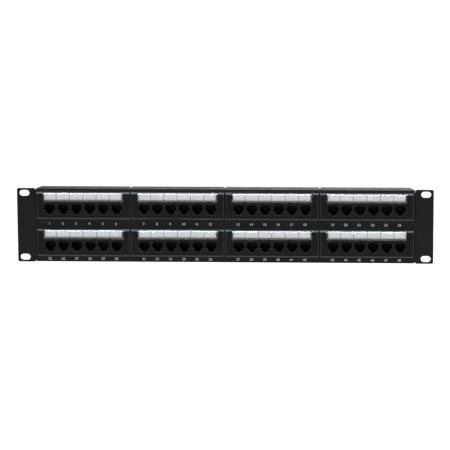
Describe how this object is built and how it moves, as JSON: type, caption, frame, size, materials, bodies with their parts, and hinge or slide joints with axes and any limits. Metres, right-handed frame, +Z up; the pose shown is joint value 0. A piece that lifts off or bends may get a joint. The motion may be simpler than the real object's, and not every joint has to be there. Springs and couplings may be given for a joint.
{
  "type": "patch panel",
  "caption": "Two-unit rack patch panel: folded black steel front, snap-in socket modules with hinged clear label covers, punch-down blocks behind.",
  "frame": {"origin": "centre of the four rack slots, on the rear face of the ears, which is the face that meets the rack rails", "axes": "+X to the right seen from the front, +Y towards the rear, +Z up; the rack screws leave along -Y"},
  "size_m": [0.4826, 0.0318, 0.0874],
  "materials": {
    "steel_paint": "black satin powder coat on sheet steel",
    "bezel_plastic": "black moulded plastic, fine texture, satin",
    "clear_cover": "clear glossy plastic",
    "label_paper": "white uncoated paper with thin grey divisions",
    "jack_plastic": "black moulded plastic, slightly glossier than the bezel",
    "gold_contacts": "gold-plated spring wire",
    "board": "green solder mask on glass-fibre board",
    "block_plastic": "black moulded plastic, satin",
    "tin_contacts": "tin-plated bronze blades",
    "screws": "bright zinc plating"
  },
  "bodies": {
    "panel": {"front_panel": "steel_paint", "bezel_upper_1": "bezel_plastic", "jacks_upper_1": "jack_plastic", "jack_contacts_upper_1": "gold_contacts", "circuit_board_upper_1": "board", "idc_blocks_upper_1": "block_plastic", "bezel_upper_2": "bezel_plastic", "jacks_upper_2": "jack_plastic", "jack_contacts_upper_2": "gold_contacts", "circuit_board_upper_2": "board", "idc_blocks_upper_2": "block_plastic", "bezel_upper_3": "bezel_plastic", "jacks_upper_3": "jack_plastic", "jack_contacts_upper_3": "gold_contacts", "circuit_board_upper_3": "board", "idc_blocks_upper_3": "block_plastic", "bezel_upper_4": "bezel_plastic", "jacks_upper_4": "jack_plastic", "jack_contacts_upper_4": "gold_contacts", "circuit_board_upper_4": "board", "idc_blocks_upper_4": "block_plastic", "bezel_lower_1": "bezel_plastic", "jacks_lower_1": "jack_plastic", "jack_contacts_lower_1": "gold_contacts", "circuit_board_lower_1": "board", "idc_blocks_lower_1": "block_plastic", "bezel_lower_2": "bezel_plastic", "jacks_lower_2": "jack_plastic", "jack_contacts_lower_2": "gold_contacts", "circuit_board_lower_2": "board", "idc_blocks_lower_2": "block_plastic", "bezel_lower_3": "bezel_plastic", "jacks_lower_3": "jack_plastic", "jack_contacts_lower_3": "gold_contacts", "circuit_board_lower_3": "board", "idc_blocks_lower_3": "block_plastic", "bezel_lower_4": "bezel_plastic", "jacks_lower_4": "jack_plastic", "jack_contacts_lower_4": "gold_contacts", "circuit_board_lower_4": "board", "idc_blocks_lower_4": "block_plastic", "idc_contacts_upper": "tin_contacts", "idc_contacts_lower": "tin_contacts", "board_screws": "screws"},
    "label_cover_upper_1": {"label_cover_upper_1": "clear_cover"},
    "label_strip_upper_1": {"label_strip_upper_1": "label_paper"},
    "label_cover_upper_2": {"label_cover_upper_2": "clear_cover"},
    "label_strip_upper_2": {"label_strip_upper_2": "label_paper"},
    "label_cover_upper_3": {"label_cover_upper_3": "clear_cover"},
    "label_strip_upper_3": {"label_strip_upper_3": "label_paper"},
    "label_cover_upper_4": {"label_cover_upper_4": "clear_cover"},
    "label_strip_upper_4": {"label_strip_upper_4": "label_paper"},
    "label_cover_lower_1": {"label_cover_lower_1": "clear_cover"},
    "label_strip_lower_1": {"label_strip_lower_1": "label_paper"},
    "label_cover_lower_2": {"label_cover_lower_2": "clear_cover"},
    "label_strip_lower_2": {"label_strip_lower_2": "label_paper"},
    "label_cover_lower_3": {"label_cover_lower_3": "clear_cover"},
    "label_strip_lower_3": {"label_strip_lower_3": "label_paper"},
    "label_cover_lower_4": {"label_cover_lower_4": "clear_cover"},
    "label_strip_lower_4": {"label_strip_lower_4": "label_paper"}
  },
  "joints": [
    {"name": "cover_hinge_upper_1", "type": "hinge", "parent": "panel", "child": "label_cover_upper_1", "pos_m": [-0.16425, -0.003, 0.03805], "axis": [-1, 0, 0], "range_deg": [0, 90]},
    {"name": "strip_slide_upper_1", "type": "slide", "parent": "panel", "child": "label_strip_upper_1", "axis": [1, 0, 0], "range_m": [-0.0001, 0.00106]},
    {"name": "cover_hinge_upper_2", "type": "hinge", "parent": "panel", "child": "label_cover_upper_2", "pos_m": [-0.05475, -0.003, 0.03805], "axis": [-1, 0, 0], "range_deg": [0, 90]},
    {"name": "strip_slide_upper_2", "type": "slide", "parent": "panel", "child": "label_strip_upper_2", "axis": [1, 0, 0], "range_m": [-0.0001, 0.00106]},
    {"name": "cover_hinge_upper_3", "type": "hinge", "parent": "panel", "child": "label_cover_upper_3", "pos_m": [0.05475, -0.003, 0.03805], "axis": [-1, 0, 0], "range_deg": [0, 90]},
    {"name": "strip_slide_upper_3", "type": "slide", "parent": "panel", "child": "label_strip_upper_3", "axis": [1, 0, 0], "range_m": [-0.00028, 0.00088]},
    {"name": "cover_hinge_upper_4", "type": "hinge", "parent": "panel", "child": "label_cover_upper_4", "pos_m": [0.16425, -0.003, 0.03805], "axis": [-1, 0, 0], "range_deg": [0, 90]},
    {"name": "strip_slide_upper_4", "type": "slide", "parent": "panel", "child": "label_strip_upper_4", "axis": [1, 0, 0], "range_m": [-0.00058, 0.00058]},
    {"name": "cover_hinge_lower_1", "type": "hinge", "parent": "panel", "child": "label_cover_lower_1", "pos_m": [-0.16425, -0.003, -0.00605], "axis": [-1, 0, 0], "range_deg": [0, 90]},
    {"name": "strip_slide_lower_1", "type": "slide", "parent": "panel", "child": "label_strip_lower_1", "axis": [1, 0, 0], "range_m": [-0.00019, 0.00097]},
    {"name": "cover_hinge_lower_2", "type": "hinge", "parent": "panel", "child": "label_cover_lower_2", "pos_m": [-0.05475, -0.003, -0.00605], "axis": [-1, 0, 0], "range_deg": [0, 90]},
    {"name": "strip_slide_lower_2", "type": "slide", "parent": "panel", "child": "label_strip_lower_2", "axis": [1, 0, 0], "range_m": [-0.00019, 0.00097]},
    {"name": "cover_hinge_lower_3", "type": "hinge", "parent": "panel", "child": "label_cover_lower_3", "pos_m": [0.05475, -0.003, -0.00605], "axis": [-1, 0, 0], "range_deg": [0, 90]},
    {"name": "strip_slide_lower_3", "type": "slide", "parent": "panel", "child": "label_strip_lower_3", "axis": [1, 0, 0], "range_m": [-0.00019, 0.00097]},
    {"name": "cover_hinge_lower_4", "type": "hinge", "parent": "panel", "child": "label_cover_lower_4", "pos_m": [0.16425, -0.003, -0.00605], "axis": [-1, 0, 0], "range_deg": [0, 90]},
    {"name": "strip_slide_lower_4", "type": "slide", "parent": "panel", "child": "label_strip_lower_4", "axis": [1, 0, 0], "range_m": [-0.00106, 0.0001]}
  ]
}
